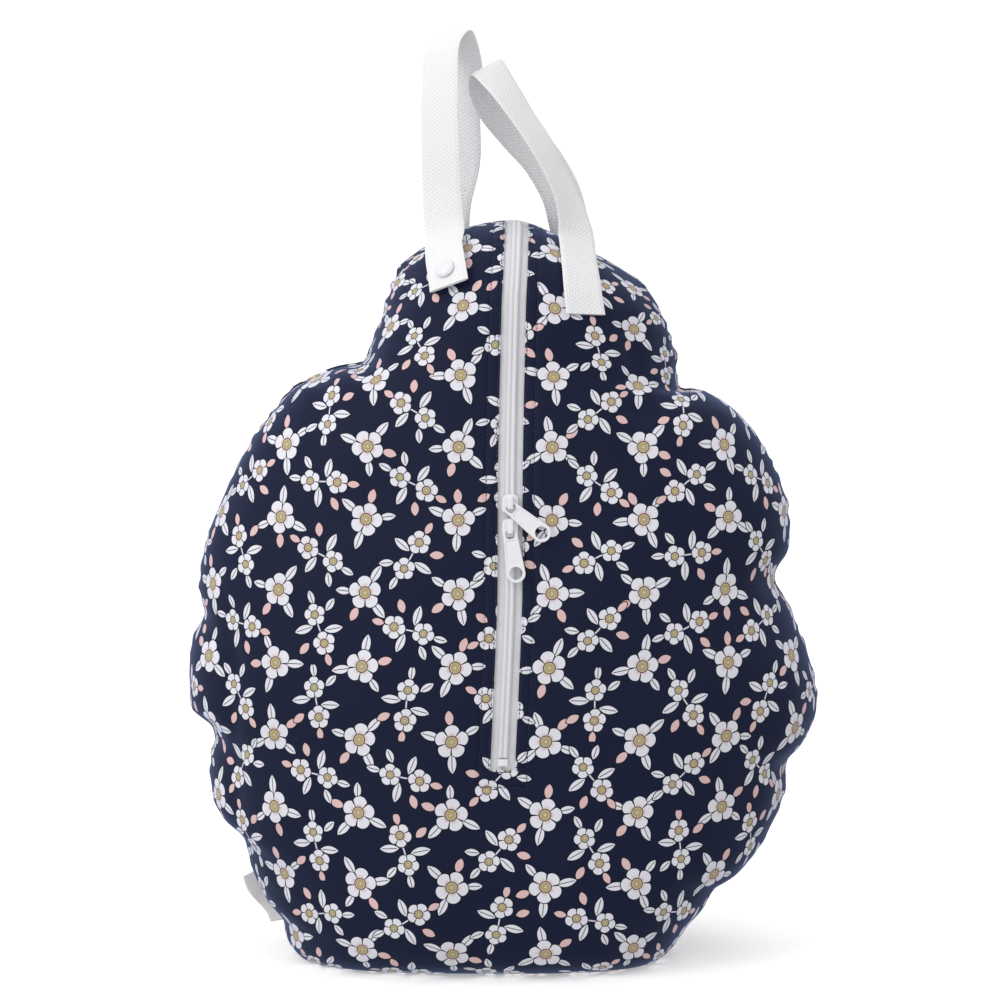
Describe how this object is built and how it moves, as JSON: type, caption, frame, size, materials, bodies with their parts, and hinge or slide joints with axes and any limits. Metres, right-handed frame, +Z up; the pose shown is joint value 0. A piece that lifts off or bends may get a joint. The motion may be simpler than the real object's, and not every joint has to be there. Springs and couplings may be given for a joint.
{
  "type": "wet bag",
  "caption": "Full cloth wet bag with a long front zipper, carry loops of white webbing, a snap and a side label, standing on its flattened base.",
  "frame": {"origin": "on the floor under the middle of the bag's bounding box", "axes": "+Z up, +X to the bag's right seen from the front, the zipper's side faces -Y"},
  "size_m": [0.3963, 0.2101, 0.5783],
  "materials": {
    "print_cloth": "matt laminated knit with a small printed pattern",
    "zipper_tape": "matt woven tape",
    "zipper_coil": "smooth white plastic",
    "enamel": "glossy white enamel",
    "webbing": "matt coarse woven webbing",
    "snap_plastic": "smooth white resin",
    "label_satin": "satin ribbon"
  },
  "bodies": {
    "bag": {"front_panel": "print_cloth", "back_panel": "print_cloth", "zipper_tape_left": "zipper_tape", "zipper_tape_right": "zipper_tape", "zipper_coil_upper": "zipper_coil", "zipper_coil_lower": "zipper_coil", "zipper_bottom_stop": "zipper_coil", "slider_upper": "enamel", "slider_lower": "enamel", "strap_left": "webbing", "strap_right": "webbing", "snap_cap": "snap_plastic", "snap_socket": "snap_plastic", "snap_stud": "snap_plastic", "side_label": "label_satin"},
    "upper_pull": {"pull_upper": "enamel"},
    "lower_pull": {"pull_lower": "enamel"}
  },
  "joints": [
    {"name": "upper_pull_swing", "type": "hinge", "parent": "bag", "child": "upper_pull", "pos_m": [0.00609, -0.09508, 0.28685], "axis": [0, -0.9831, 0.1833], "range_deg": [0, 60]},
    {"name": "lower_pull_lift", "type": "hinge", "parent": "bag", "child": "lower_pull", "pos_m": [0.00605, -0.09736, 0.27465], "axis": [-0.9888, -0.0271, -0.1468], "range_deg": [0, 120]}
  ]
}
